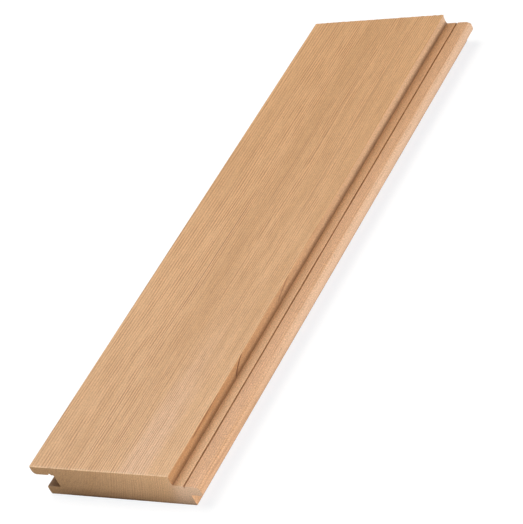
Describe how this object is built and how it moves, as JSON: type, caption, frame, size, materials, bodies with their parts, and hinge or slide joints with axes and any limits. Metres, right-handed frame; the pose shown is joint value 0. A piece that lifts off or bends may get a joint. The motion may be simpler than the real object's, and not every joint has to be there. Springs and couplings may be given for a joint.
{
  "type": "tongue and groove board",
  "caption": "Flat softwood cladding board moulded with a two-lipped groove on one long edge and a tongue behind an open channel on the other, both ends cut square.",
  "frame": {"origin": "middle of the back face, on the surface that the board lies on", "axes": "+Z out of the show face, +Y along the length, +X from the groove edge to the tongue edge"},
  "size_m": [0.145, 0.5, 0.028],
  "materials": {
    "softwood": "planed, unfinished"
  },
  "bodies": {
    "root": {"board": "softwood"}
  },
  "joints": []
}
